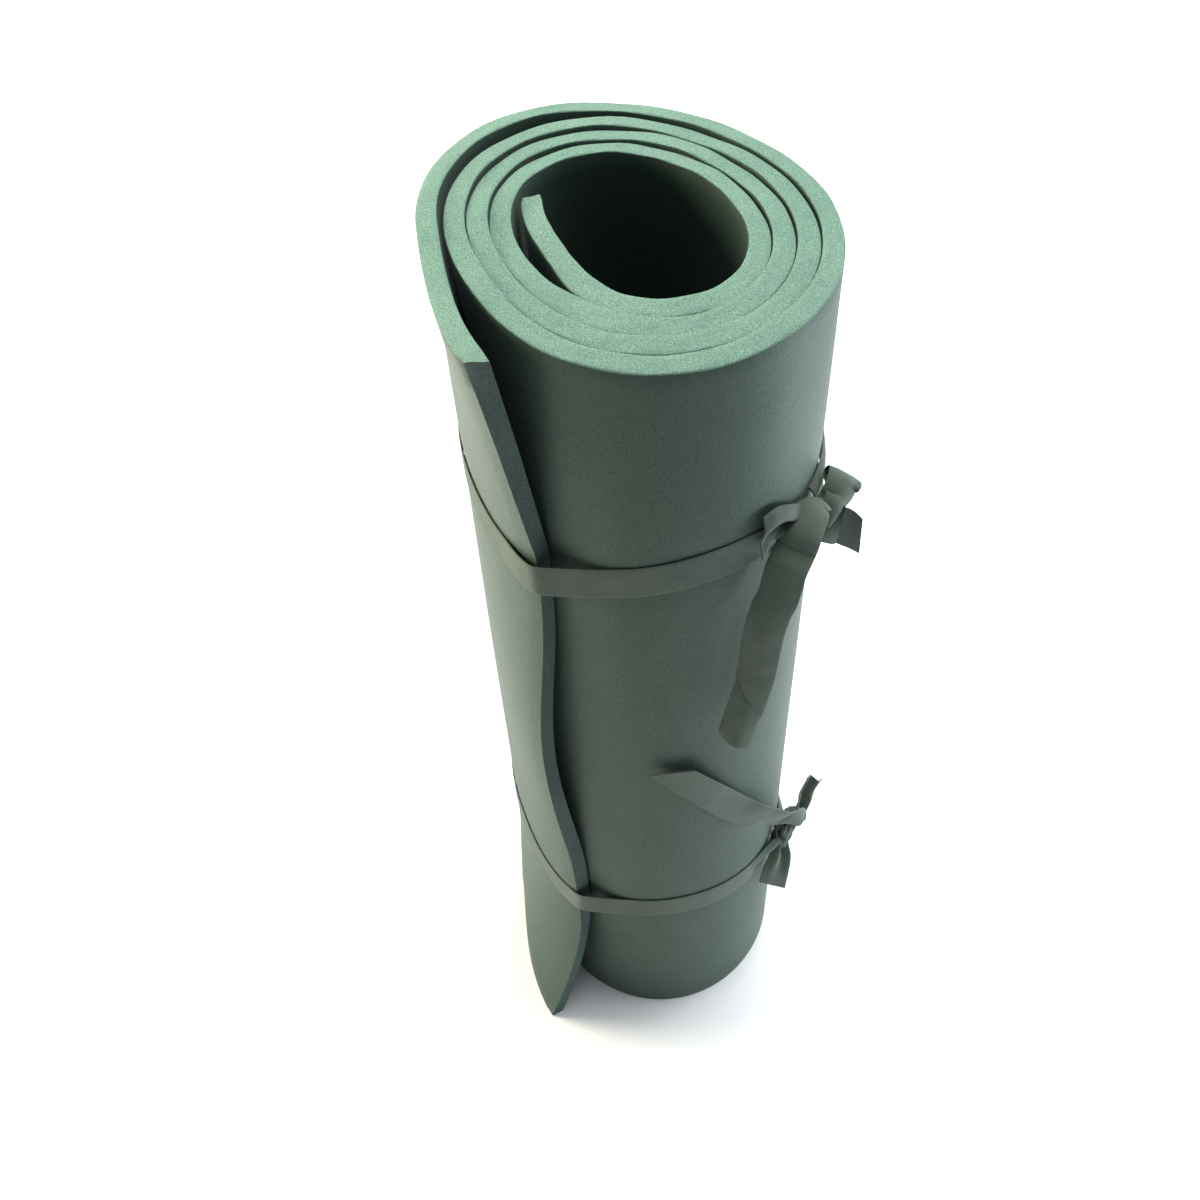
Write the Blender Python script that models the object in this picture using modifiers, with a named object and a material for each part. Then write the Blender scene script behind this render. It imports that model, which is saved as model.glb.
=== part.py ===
"""Rolled closed-cell foam sleeping mat, standing on end and held by two tied tapes.

The roll's axis is the world Z axis and its lower cut edge stands on z = 0. Seen from above, the
sheet winds counter-clockwise from its inner end to its free outer end. Headings are degrees in
plan, counter-clockwise from +X. Turn 0 of the winding is at heading 180.
"""
import math

import bmesh
import bpy
import numpy as np
from mathutils import Vector

# Foam sheet, unrolled
MAT_LENGTH = 1.859
MAT_WIDTH = 0.610
FOAM_THICKNESS = 0.0095

# Winding
CORE_RADIUS = 0.0427
TURN_GAP = 0.0013
INNER_TURN = -0.08
OVAL = 0.0066
OVAL_HEADING = -53.0
LEAN = 0.0010
TRIANGLE = 0.0017
TRIANGLE_HEADING = 18.0
TONGUE_TURNS = 0.42
TONGUE_DROP = 0.0050
WAIST = 0.0050
WAIST_LOST_AT_HEAD = 0.85
WAIST_LOST_AT_FOOT = 1.10
HEAD_FLARE_POWER = 1.2
FOOT_FLARE_POWER = 1.3
WAIST_HEADING = 188.0
WAIST_WIDTH = 80.0
HEEL_HEADING = 85.0
HEEL_WIDTH = 70.0
HEEL_SHARE = 0.8
LEAST_TURN_GAP = 0.0004

# Loose outer turn
BULGE = 0.0042
BULGE_HEADING = 128.0
BULGE_WIDTH = 82.0
BULGE_TURNS = 0.77
BULGE_EASE_TURNS = 0.1
BULGE_UNDER_TAPE = 0.35
FLAP_TURNS = 0.17
FLAP_POWER = 1.5
FLAP_LIFT = 0.0195
MIDDLE_SLACK = 0.45
FOOT_SLACK = 1.75
FOOT_SLACK_POWER = 1.6
FLARE_LENGTH = 0.060
FOOT_FLARE_LENGTH = 0.100
HEAD_DRIFT = 0.020
MIDDLE_DRIFT = 0.0137
FOOT_DRIFT = 0.024
TIP_SKEW = 0.018

# Tie tapes
TAPE_WIDTH = 0.0205
TAPE_THICKNESS = 0.0008
TAPE_CLEARANCE = 0.0004
SHORTEST_STRAIGHT = 0.003
UPPER_TIE_HEIGHT = 0.481
UPPER_TIE_SLOPE = 0.07
LOWER_TIE_HEIGHT = 0.150
LOWER_TIE_SLOPE = -0.09
UPPER_KNOT_RISE = -0.004
LOWER_KNOT_RISE = 0.006
BAND_END_WIDTH = 0.014
BAND_END_LENGTH = 0.030
BAND_END_LIFT = 0.0048

# Knots
UPPER_KNOT_HEADING = -32.0
LOWER_KNOT_HEADING = -23.0
KNOT_LENGTH = 0.022
KNOT_DEPTH = 0.013
KNOT_HEIGHT = 0.022
KNOT_CLEARANCE = 0.0004
KNOT_FOLD_DEPTH = 0.0011
KNOT_FOLDS = 3
KNOT_FOLD_TWIST = 2.2
TAIL_CLEARANCE = 0.0003
ROOT_STEP = 0.00005
ROOT_ROUND = 0.00035
GATHERED_WIDTH = 0.009
GATHER_LENGTH = 0.022
NARROW_END = 0.014
STUB_WIDTH = 0.017

# Mesh fineness
COLUMNS_PER_TURN = 37
ROW_STEP = 0.050
TAIL_SEGMENTS = 16
BAND_END_STEPS = 6
KNOT_SEGMENTS = 20
KNOT_RINGS = 12

MM = 0.001
COLLECTION = "foam_sleeping_mat"

# Free tape ends: points in millimetres from the centre of their knot, and the way the flat side
# faces at the knot and at the tip
HANGING_TAIL = ((-4, -9, 15), (-9, -21, 15), (-13, -33, 10), (-19, -40, -3), (-23, -42, -25),
                (-26, -42, -50), (-30, -41, -80), (-35, -40, -150))
SIDE_TAIL = ((8, 0, -7), (13, 0, -9), (18, 0, -12), (22, -1, -17))
BOW_LOOP = ((5, 5, 5), (8, 7, 9), (11, 9, 13), (13, 12, 15), (15, 14, 12), (14, 15, 6))
SHORT_END = ((-2, -11, 2), (-11, -21, 3), (-19, -27, 6), (-26, -30, 8))
LONG_TAIL = ((8, -2, 10), (9, -5, 25), (6, -9, 41), (-1, -16, 53), (-8, -23, 61), (-16, -31, 71),
             (-32, -41, 96), (-48, -50, 125), (-62, -54, 148), (-75, -57, 170))
UP_TAIL = ((3, 5, 9), (9, 9, 18), (13, 11, 30), (16, 12, 41), (18, 13, 48))
FAN_TAIL = ((-2, -5, -8), (-3, -9, -15), (-5, -14, -25), (-6, -19, -37))

FOAM_GREEN = (0.105, 0.150, 0.125)
TAPE_GREEN = (0.115, 0.130, 0.095)


def heading_of(turn):
    """Plan angle, in radians, of a place on the winding."""
    return math.pi + 2 * math.pi * turn


def ease(x):
    """Smooth step from 0 to 1."""
    x = np.clip(x, 0, 1)
    return x * x * (3 - 2 * x)


def lobe(angle, centre, width):
    """Smooth bump of height 1 round a heading, gone at width degrees to either side."""
    off = (np.degrees(angle) - centre + 180) % 360 - 180
    return np.where(np.abs(off) < width, np.cos(math.pi / 2 * off / width) ** 2, 0)


def pinch_half_height(slope):
    """Half of the height that a tape covers as it slopes round the roll."""
    radius = math.sqrt(CORE_RADIUS ** 2 + MAT_LENGTH * (FOAM_THICKNESS + TURN_GAP) / math.pi)
    return TAPE_WIDTH / 2 + abs(slope) * radius


def waist(z):
    """1 where the ties draw the roll in, falling away at its two ends."""
    head = np.clip(1 - (MAT_WIDTH - z) / FLARE_LENGTH, 0, 1) ** HEAD_FLARE_POWER
    foot = np.clip(1 - z / FOOT_FLARE_LENGTH, 0, 1) ** FOOT_FLARE_POWER
    return 1 - WAIST_LOST_AT_HEAD * head - WAIST_LOST_AT_FOOT * foot


def loose_parts(z):
    """How free a height is of both tapes: above them, between them and below them."""
    under = UPPER_TIE_HEIGHT - pinch_half_height(UPPER_TIE_SLOPE)
    over = UPPER_TIE_HEIGHT + pinch_half_height(UPPER_TIE_SLOPE)
    low_over = LOWER_TIE_HEIGHT + pinch_half_height(LOWER_TIE_SLOPE)
    low_under = LOWER_TIE_HEIGHT - pinch_half_height(LOWER_TIE_SLOPE)
    head = np.clip((z - over) / (MAT_WIDTH - over), 0, 1)
    middle = np.sin(math.pi * np.clip((z - low_over) / (under - low_over), 0, 1)) ** 2
    foot = np.clip(1 - z / low_under, 0, 1) ** FOOT_SLACK_POWER
    return head, middle, foot


def slack(z):
    """How loose the outer turn is at a height: 0 under both tapes."""
    head, middle, foot = loose_parts(z)
    return head + MIDDLE_SLACK * middle + FOOT_SLACK * foot


def winding_radius(turn, z):
    """Radius of the sheet's middle surface without the looseness of the outer turn."""
    angle = heading_of(turn)
    oval = angle - math.radians(OVAL_HEADING)
    triangle = angle - math.radians(TRIANGLE_HEADING)
    radius = CORE_RADIUS + FOAM_THICKNESS / 2 + (FOAM_THICKNESS + TURN_GAP) * turn
    radius = radius + OVAL * np.cos(2 * oval) + LEAN * np.cos(oval) + TRIANGLE * np.cos(3 * triangle)
    side = HEEL_SHARE * lobe(angle, HEEL_HEADING, HEEL_WIDTH) - lobe(angle, WAIST_HEADING, WAIST_WIDTH)
    tongue = np.clip((turn - INNER_TURN) / TONGUE_TURNS, 0, 1)
    return radius + WAIST * waist(z) * side - TONGUE_DROP * np.sin(math.pi * tongue) ** 2


def outer_lift(turn, z, last_turn):
    """How far the loose outer turn stands off the winding."""
    begun = ease((turn - last_turn + BULGE_TURNS) / BULGE_EASE_TURNS)
    grip = np.clip(BULGE_UNDER_TAPE + (1 - BULGE_UNDER_TAPE) * slack(z), 0, 1)
    bulge = BULGE * grip * lobe(heading_of(turn), BULGE_HEADING, BULGE_WIDTH) * begun
    flap = np.clip(1 - (last_turn - turn) / FLAP_TURNS, 0, None)
    return bulge + FLAP_LIFT * slack(z) * flap ** FLAP_POWER


def middle_line(turns, z, last_turn):
    """Plan points of the sheet's middle surface at one height."""
    radius = winding_radius(turns, z) + outer_lift(turns, z, last_turn)
    angle = heading_of(turns)
    return np.stack([radius * np.cos(angle), radius * np.sin(angle)], axis=-1)


def last_turn_for_length():
    """Turn at which the sheet's length runs out, measured under the upper tape."""
    turns = np.linspace(INNER_TURN, INNER_TURN + 12, 12001)
    radius = winding_radius(turns, UPPER_TIE_HEIGHT)
    angle = heading_of(turns)
    line = np.stack([radius * np.cos(angle), radius * np.sin(angle)], axis=-1)
    run = np.concatenate([[0], np.cumsum(np.linalg.norm(np.diff(line, axis=0), axis=1))])
    return float(np.interp(MAT_LENGTH, run, turns))


def end_turn_at(z, last_turn):
    """The free end hangs back where the turn is loose, and runs on a little towards the foot."""
    head, middle, foot = loose_parts(z)
    back = HEAD_DRIFT * head + MIDDLE_DRIFT * middle + FOOT_DRIFT * foot
    return last_turn - back + TIP_SKEW * np.clip(1 - z / UPPER_TIE_HEIGHT, 0, 1)


def faces_of_sheet(z, last_turn, count):
    """Turns, outer face points and inner face points of the sheet at one height."""
    turns = np.linspace(INNER_TURN, end_turn_at(z, last_turn), count)
    line = middle_line(turns, z, last_turn)
    along = np.gradient(line, axis=0)
    along /= np.linalg.norm(along, axis=1)[:, None]
    out = np.stack([along[:, 1], -along[:, 0]], axis=-1) * FOAM_THICKNESS / 2
    return turns, line + out, line - out


def least_turn_gap(z, last_turn):
    """Smallest gap between one turn and the next at a height."""
    turns, outer, inner = faces_of_sheet(z, last_turn, 1600)
    least = math.inf
    for turn, point in zip(turns[::4], outer[::4]):
        near = np.abs(turns - turn - 1) < 0.2
        if near.any():
            least = min(least, float(np.linalg.norm(inner[near] - point, axis=1).min()))
    return least


def row_heights():
    """Heights of the sheet's mesh rows: at the ends, at both edges of each tape and between."""
    marks = [0.0]
    for height, slope in ((LOWER_TIE_HEIGHT, LOWER_TIE_SLOPE), (UPPER_TIE_HEIGHT, UPPER_TIE_SLOPE)):
        half = pinch_half_height(slope)
        marks += [height - half, height + half]
    marks.append(MAT_WIDTH)
    rows = [0.0]
    for low, high in zip(marks, marks[1:]):
        steps = max(1, round((high - low) / ROW_STEP))
        rows += list(np.linspace(low, high, steps + 1)[1:])
    return np.array(rows)


def material(name, color, roughness):
    """Principled material of one colour."""
    made = bpy.data.materials.new(name)
    made.use_nodes = True
    shader = made.node_tree.nodes["Principled BSDF"]
    shader.inputs["Base Color"].default_value = (*color, 1)
    shader.inputs["Roughness"].default_value = roughness
    shader.inputs["Metallic"].default_value = 0
    return made


def add_object(name, mesh, color, roughness):
    """Puts a mesh in the part's collection with a material of its own."""
    made = bpy.data.objects.new(name, mesh)
    bpy.data.collections[COLLECTION].objects.link(made)
    mesh.materials.append(material(name, color, roughness))
    return made


def bent_grid(name, columns, rows, place):
    """A flat grid whose points, given as shares of its two sides, are bent to their places."""
    mesh = bpy.data.meshes.new(name)
    form = bmesh.new()
    bmesh.ops.create_grid(form, x_segments=columns, y_segments=rows, size=1)
    for vert in form.verts:
        vert.co = place((vert.co.x + 1) / 2, (vert.co.y + 1) / 2)
    bmesh.ops.recalc_face_normals(form, faces=form.faces)
    form.to_mesh(mesh)
    form.free()
    return mesh


def thicken(made, thickness):
    """Gives an open sheet its thickness, half to either side."""
    solidify = made.modifiers.new("thickness", "SOLIDIFY")
    solidify.thickness = thickness
    solidify.offset = 0
    solidify.use_even_offset = True
    return solidify


def as_mesh(made):
    """Replaces an object's modifiers by the mesh that they make."""
    graph = bpy.context.evaluated_depsgraph_get()
    mesh = bpy.data.meshes.new_from_object(made.evaluated_get(graph))
    made.modifiers.clear()
    made.data = mesh
    return mesh


def build_mat(last_turn):
    """The foam sheet, bent round the winding and cut square at its two long edges."""
    rows = row_heights()
    columns = round((last_turn - INNER_TURN) * COLUMNS_PER_TURN)

    def place(along, up):
        z = float(rows[round(up * (len(rows) - 1))])
        turn = np.array(INNER_TURN + along * (end_turn_at(z, last_turn) - INNER_TURN))
        x, y = middle_line(turn, z, last_turn)
        return (x, y, z)

    mesh = bent_grid("mat_roll", columns, len(rows) - 1, place)
    made = add_object("mat_roll", mesh, FOAM_GREEN, 0.85)
    thicken(made, FOAM_THICKNESS)
    mesh = as_mesh(made)
    edge = FOAM_THICKNESS / 2
    for vert in mesh.vertices:
        if vert.co.z < edge:
            vert.co.z = 0
        elif vert.co.z > MAT_WIDTH - edge:
            vert.co.z = MAT_WIDTH
    mesh.shade_smooth()
    mesh.set_sharp_from_angle(angle=math.radians(40))
    return made


def convex_hull(points):
    """Corners of the convex hull of plan points, counter-clockwise."""
    ordered = sorted(map(tuple, points))

    def half(sequence):
        chain = []
        for point in sequence:
            while len(chain) > 1:
                (ax, ay), (bx, by) = chain[-2:]
                if (bx - ax) * (point[1] - ay) - (by - ay) * (point[0] - ax) > 0:
                    break
                chain.pop()
            chain.append(point)
        return chain[:-1]

    return np.array(half(ordered) + half(reversed(ordered)))


def taut_route(height, slope, last_turn):
    """Closed plan route of a taut tape: the roll's hull, a clearance and half a tape out."""
    half = pinch_half_height(slope)
    columns = round((last_turn - INNER_TURN) * COLUMNS_PER_TURN) + 1
    touched = []
    for z in (height - half, height, height + half):
        touched.append(faces_of_sheet(z, last_turn, columns)[1])
    hull = convex_hull(np.concatenate(touched))
    keep = np.linalg.norm(hull - np.roll(hull, 1, axis=0), axis=1) > SHORTEST_STRAIGHT
    hull = hull[keep]
    before = hull - np.roll(hull, 1, axis=0)
    after = np.roll(hull, -1, axis=0) - hull
    before /= np.linalg.norm(before, axis=1)[:, None]
    after /= np.linalg.norm(after, axis=1)[:, None]
    bisector = before + after
    bisector /= np.linalg.norm(bisector, axis=1)[:, None]
    mitre = 1 / np.sqrt((1 + (before * after).sum(axis=1)) / 2)
    out = np.stack([bisector[:, 1], -bisector[:, 0]], axis=-1) * mitre[:, None]
    return hull + out * (TAPE_CLEARANCE + TAPE_THICKNESS / 2)


def cut_route(route, heading, spare):
    """Opens a closed route at its knot, leaving room for it, and returns it end to end."""
    target = math.radians(heading)
    angles = (np.arctan2(route[:, 1], route[:, 0]) - target) % (2 * math.pi)
    ordered = route[np.argsort(angles)]
    angles = np.sort(angles)
    first = ordered[-1] + (ordered[0] - ordered[-1]) * (2 * math.pi - angles[-1]) / (
        angles[0] - angles[-1] + 2 * math.pi)
    line = np.concatenate([[first], ordered, [first]])
    run = np.concatenate([[0], np.cumsum(np.linalg.norm(np.diff(line, axis=0), axis=1))])
    zone = spare + BAND_END_LENGTH
    near_start = np.linspace(spare, zone, BAND_END_STEPS)
    near_end = run[-1] - near_start[::-1]
    marks = np.concatenate([near_start, run[(run > zone + MM) & (run < run[-1] - zone - MM)], near_end])
    opened = np.stack([np.interp(marks, run, line[:, axis]) for axis in (0, 1)], axis=-1)
    return first, opened, np.minimum(marks, run[-1] - marks) - spare


def build_band(name, height, slope, heading, rise, last_turn):
    """One tape round the roll, from one side of its knot to the other, and its knot's centre."""
    route = taut_route(height, slope, last_turn)
    spare = KNOT_LENGTH / 2 + KNOT_CLEARANCE
    at_knot, line, from_knot = cut_route(route, heading, spare)
    out = knot_axes(heading)[0]

    def place(along, up):
        index = round(along * (len(line) - 1))
        x, y = line[index]
        drawn = float(ease(1 - from_knot[index] / BAND_END_LENGTH))
        width = TAPE_WIDTH + (BAND_END_WIDTH - TAPE_WIDTH) * drawn
        z = height + slope * x + rise * drawn + (up - 0.5) * width
        return Vector((x, y, z)) + out * BAND_END_LIFT * drawn ** 2

    mesh = bent_grid(name, len(line) - 1, 1, place)
    made = add_object(name, mesh, TAPE_GREEN, 0.8)
    thicken(made, TAPE_THICKNESS)
    as_mesh(made)
    seat = Vector((*at_knot, height + slope * at_knot[0] + rise))
    stand = KNOT_DEPTH / 2 + KNOT_CLEARANCE - TAPE_CLEARANCE - TAPE_THICKNESS / 2
    return seat + out * stand


def knot_axes(heading):
    """Out of the roll, along the tape and up."""
    out = Vector((math.cos(math.radians(heading)), math.sin(math.radians(heading)), 0))
    up = Vector((0, 0, 1))
    return out, up.cross(out), up


def knot_press(unit):
    """How far the folds of a knot bring its surface in, in a direction of the unit sphere."""
    wave = 0.5 + 0.5 * math.cos(KNOT_FOLDS * math.atan2(unit.y, unit.x) + KNOT_FOLD_TWIST * unit.z)
    return 1 - wave * (1 - unit.z ** 2) * KNOT_FOLD_DEPTH / (KNOT_DEPTH / 2)


def clear_of_knot(point, heading):
    """Whether a point, taken from a knot's centre, keeps the tails' clearance to the knot."""
    halves = (KNOT_DEPTH / 2, KNOT_LENGTH / 2, KNOT_HEIGHT / 2)
    axes = knot_axes(heading)
    share = Vector([point.dot(axis) / (half + TAIL_CLEARANCE) for axis, half in zip(axes, halves)])
    return share.length >= knot_press(share.normalized())


def tail_root(points, facing, heading):
    """Where a tail's gathered end sits on its knot: as near as its four corners allow."""
    direction = Vector(points[0]).normalized()
    onward = (Vector(points[1]) - Vector(points[0])).normalized()
    side = onward.cross(Vector(facing)).normalized() * GATHERED_WIDTH / 2
    flat = side.normalized().cross(onward) * TAPE_THICKNESS / 2
    corners = [side * a + flat * b for a in (-1, 0, 1) for b in (-1, 1)]
    reach = KNOT_DEPTH / 2
    while not all(clear_of_knot(direction * reach + corner, heading) for corner in corners):
        reach += ROOT_STEP
    return direction * reach


def build_knot(name, centre, heading):
    """A pulled-tight lump of folded tape: an ellipsoid with the folds pressed into it."""
    out, along, up = knot_axes(heading)
    mesh = bpy.data.meshes.new(name)
    form = bmesh.new()
    bmesh.ops.create_uvsphere(form, u_segments=KNOT_SEGMENTS, v_segments=KNOT_RINGS, radius=1)
    for vert in form.verts:
        unit = vert.co.copy()
        local = out * unit.x * KNOT_DEPTH / 2 + along * unit.y * KNOT_LENGTH / 2
        vert.co = centre + (local + up * unit.z * KNOT_HEIGHT / 2) * knot_press(unit)
    form.to_mesh(mesh)
    form.free()
    mesh.shade_smooth()
    return add_object(name, mesh, TAPE_GREEN, 0.8)


def smooth_route(points, count):
    """Evenly spaced points on a Catmull-Rom curve through the given ones."""
    points = np.array(points, dtype=float)
    padded = np.concatenate([[2 * points[0] - points[1]], points, [2 * points[-1] - points[-2]]])
    dense = []
    for a, b, c, d in zip(padded, padded[1:], padded[2:], padded[3:]):
        for t in np.linspace(0, 1, 24, endpoint=False):
            bend = (2 * a - 5 * b + 4 * c - d) * t ** 2 + (3 * b - a - 3 * c + d) * t ** 3
            dense.append(0.5 * (2 * b + (c - a) * t + bend))
    dense.append(points[-1])
    dense = np.array(dense)
    run = np.concatenate([[0], np.cumsum(np.linalg.norm(np.diff(dense, axis=0), axis=1))])
    marks = np.linspace(0, run[-1], count + 1)
    return np.stack([np.interp(marks, run, dense[:, axis]) for axis in range(3)], axis=-1), run[-1]


def round_root(mesh, root, along):
    """Rounds the end that a tail turns about, so that it swings clear of its knot."""
    form = bmesh.new()
    form.from_mesh(mesh)
    ends = [edge for edge in form.edges
            if edge.calc_length() > 2 * TAPE_THICKNESS
            and all((vert.co - root).dot(along) < TAPE_THICKNESS / 4 and (vert.co - root).length < GATHERED_WIDTH
                    for vert in edge.verts)]
    bmesh.ops.bevel(form, geom=ends, offset=ROOT_ROUND, segments=2, profile=0.5, affect="EDGES")
    form.to_mesh(mesh)
    form.free()


def build_tail(name, knot, points, facing_root, facing_tip, slant=0.0, tip_width=TAPE_WIDTH):
    """A free tape end: gathered at the knot, at full width further on, its tip cut at a slant."""
    centre, heading = knot
    root = tail_root(points, facing_root, heading)
    chosen = [tuple(root)] + [tuple(Vector(point) * MM) for point in points[1:]]
    route, length = smooth_route(chosen, TAIL_SEGMENTS)
    along = np.gradient(route, axis=0)
    along /= np.linalg.norm(along, axis=1)[:, None]

    def place(share, across):
        index = round(share * TAIL_SEGMENTS)
        facing = Vector(facing_root).lerp(Vector(facing_tip), share)
        side = Vector(along[index]).cross(facing).normalized()
        spread = float(ease(share * length / GATHER_LENGTH))
        width = GATHERED_WIDTH + (tip_width - GATHERED_WIDTH) * spread
        trim = Vector(along[index]) * slant * width * (across - 0.5) * float(ease(share * 3 - 2))
        return centre + Vector(route[index]) + side * width * (across - 0.5) + trim

    mesh = bent_grid(name, TAIL_SEGMENTS, 2, place)
    made = add_object(name, mesh, TAPE_GREEN, 0.8)
    thicken(made, TAPE_THICKNESS)
    round_root(as_mesh(made), centre + root, Vector(along[0]))
    made.data.shade_smooth()
    made.data.set_sharp_from_angle(angle=math.radians(40))
    return centre + root, Vector(along[0]).cross(Vector(facing_root)).normalized()


def build_ties(last_turn):
    """Both tapes with their knots and free ends. Returns where each free end leaves its knot."""
    centre = build_band("upper_tie_band", UPPER_TIE_HEIGHT, UPPER_TIE_SLOPE, UPPER_KNOT_HEADING,
                        UPPER_KNOT_RISE, last_turn)
    upper = (centre, UPPER_KNOT_HEADING)
    build_knot("upper_tie_knot", *upper)
    centre = build_band("lower_tie_band", LOWER_TIE_HEIGHT, LOWER_TIE_SLOPE, LOWER_KNOT_HEADING,
                        LOWER_KNOT_RISE, last_turn)
    lower = (centre, LOWER_KNOT_HEADING)
    build_knot("lower_tie_knot", *lower)
    tails = (
        ("upper_tie_hanging_tail", upper, HANGING_TAIL, (0.1, -0.35, 0.9), (0.4, -1, 0.1), -0.5),
        ("upper_tie_side_tail", upper, SIDE_TAIL, (0.1, -0.6, 0.8), (0.4, -0.5, 0.7), 0.2),
        ("upper_tie_bow_loop", upper, BOW_LOOP, (-0.4, -0.5, 0.6), (0.4, 0.7, 0.4), 0, NARROW_END),
        ("upper_tie_short_end", upper, SHORT_END, (0.5, -0.8, 0.2), (0.5, -0.8, 0.3), 0.1, STUB_WIDTH),
        ("lower_tie_long_tail", lower, LONG_TAIL, (0.5, -0.8, -0.2), (0.15, -1, 0), -1.2),
        ("lower_tie_up_tail", lower, UP_TAIL, (0.3, -0.9, 0.1), (0.3, -0.9, 0.1), 0.2, NARROW_END),
        ("lower_tie_fan_tail", lower, FAN_TAIL, (0.3, -0.9, 0.1), (0.2, -0.9, -0.1), 0.3),
    )
    return {tail[0]: build_tail(*tail) for tail in tails}


def stand_on_origin():
    """Moves every piece so that the middle of the part's bounding box is over the origin."""
    made = bpy.data.collections[COLLECTION].objects
    corners = np.array([vert.co for piece in made for vert in piece.data.vertices])
    middle = (corners.min(axis=0) + corners.max(axis=0)) / 2
    shift = Vector((-middle[0], -middle[1], 0))
    for piece in made:
        piece.location = shift
    print("the roll's axis is at", tuple(round(value, 5) for value in shift))
    return shift


def main():
    """Clears the scene and builds the part."""
    for old in list(bpy.data.objects):
        bpy.data.objects.remove(old)
    bpy.context.scene.collection.children.link(bpy.data.collections.new(COLLECTION))
    last_turn = last_turn_for_length()
    build_mat(last_turn)
    roots = build_ties(last_turn)
    shift = stand_on_origin()
    gap = min(least_turn_gap(z, last_turn) for z in row_heights())
    print(f"least gap between turns {gap * 1000:.2f} mm, wanted over {LEAST_TURN_GAP * 1000:.2f} mm")
    for name, (root, hinge) in roots.items():
        place = tuple(round(value, 4) for value in root + shift)
        print(name, "leaves its knot at", place, "and bends about", tuple(round(value, 4) for value in hinge))


main()
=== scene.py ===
"""Rolled foam sleeping mat with two tied tapes, as photographed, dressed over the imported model.

Headings are degrees in plan round the roll's own axis, counter-clockwise from +X. Turn 0 of the
winding is at heading 180. Lengths are metres, and millimetres where a name says so.
"""
import math

import bmesh
import bpy
import numpy as np
from mathutils import Matrix, Vector


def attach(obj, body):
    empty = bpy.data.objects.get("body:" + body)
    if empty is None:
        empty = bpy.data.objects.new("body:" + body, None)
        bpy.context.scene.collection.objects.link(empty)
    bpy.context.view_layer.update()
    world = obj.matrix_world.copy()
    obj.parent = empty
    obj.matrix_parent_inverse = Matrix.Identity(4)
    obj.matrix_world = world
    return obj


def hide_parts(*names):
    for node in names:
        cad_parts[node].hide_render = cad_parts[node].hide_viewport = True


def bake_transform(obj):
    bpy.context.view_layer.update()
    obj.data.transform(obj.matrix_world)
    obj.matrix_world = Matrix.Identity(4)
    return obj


MM = 0.001

# Foam sheet and its winding, as in the part's source. Turns count from the sheet's inner end.
MAT_LENGTH = 1.859
MAT_WIDTH = 0.610
FOAM_THICKNESS = 0.0095
CORE_RADIUS = 0.0427
TURN_GAP = 0.0013
TURN_PITCH = FOAM_THICKNESS + TURN_GAP
INNER_TURN = -0.08
LAST_TURN = 4.1638
OVAL = 0.0066
OVAL_HEADING = -53.0
LEAN = 0.0010
TRIANGLE = 0.0017
TRIANGLE_HEADING = 18.0

# The inner end, a tongue that leaves the winding, and the inner turns, rounder than the outer ones
TONGUE_TURNS = 0.43
TONGUE_DROP = 0.0078
TONGUE_LEAD = 0.01
TONGUE_SKEW = 0.55
TONGUE_POWER = 1.3
EVEN_TURNS = 3.3
CORE_MORE = 0.0014
CORE_OVAL_LESS = 0.0014

# Where the tied tapes draw the roll in, and where the outer turn stands off it
WAIST = 0.0050
WAIST_LOST_AT_HEAD = 0.85
WAIST_LOST_AT_FOOT = 1.10
HEAD_FLARE_POWER = 1.2
FOOT_FLARE_POWER = 1.3
WAIST_HEADING = 188.0
WAIST_WIDTH = 80.0
HEEL_HEADING = 85.0
HEEL_WIDTH = 70.0
HEEL_SHARE = 0.8
BULGE = 0.0042
BULGE_HEADING = 128.0
BULGE_WIDTH = 82.0
BULGE_TURNS = 0.77
BULGE_EASE_TURNS = 0.1
BULGE_UNDER_TAPE = 0.35
FLAP_TURNS = 0.17
FLAP_POWER = 1.5
FLAP_LIFT = 0.0195
FLAP_TIE_DIP = 0.014
FLAP_LOW_TIE_DIP = 0.006
MIDDLE_SLACK = 0.45
FOOT_SLACK = 1.75
FOOT_SLACK_POWER = 1.6
FLARE_LENGTH = 0.060
FOOT_FLARE_LENGTH = 0.100

# How far the free end lies back, in turns, where the outer turn is loose, and how its cut leans
HEAD_DRIFT = 0.020
MIDDLE_DRIFT = 0.0137
FOOT_DRIFT = 0.024
TIP_SKEW = 0.018
CUT_SKEW_HEAD = 0.0095
CUT_SKEW_FOOT = 0.0055
CUT_SKEW_REACH = (0.10, 0.30)
CUT_SKEW_EASES = (0.04, 0.08)

# The roll's own axis in the shared frame, as the part's source prints it
ROLL_AXIS = Vector((-0.0102, 0.0019, 0.0))

# Finer form of the foam
COLUMNS_PER_TURN = 92
ROW_STEP = 0.009
CUT_COLUMNS = 5
EDGE_ROUND = 0.0007
CUT_TILT = 0.0016
CUT_WAVE = 0.0003
CUT_DEPTH = 0.03
# Waves of the upper cut edge: radians per turn, phase, share of the height, and radians per metre
# across the sheet
CUT_WAVES = ((23, 0.0, 1.0, 0), (41, 1.3, 1.0, 0), (97, 0.0, 0.6, 900))

# Where the turns press together, so that their gaps all but close
PRESS_HEADING = -68.0
PRESS_WIDTH = 92.0
OUTER_PRESS_HEADING = -34.0
OUTER_PRESS_WIDTH = 42.0
PRESS_GAIN = 1.7
PRESS_EASE_TURNS = 0.1
PRESS_LEFT = 0.00020

# How the tapes dent the foam
PINCH = 0.0008
PINCH_REACH = 0.020

# Tie tapes
TAPE_WIDTH = 0.0205
TAPE_THICKNESS = 0.0009
TAPE_CLEARANCE = 0.0003
TAPE_STAND_OFF = 0.0001
TAPE_SINK = 0.0005

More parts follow.
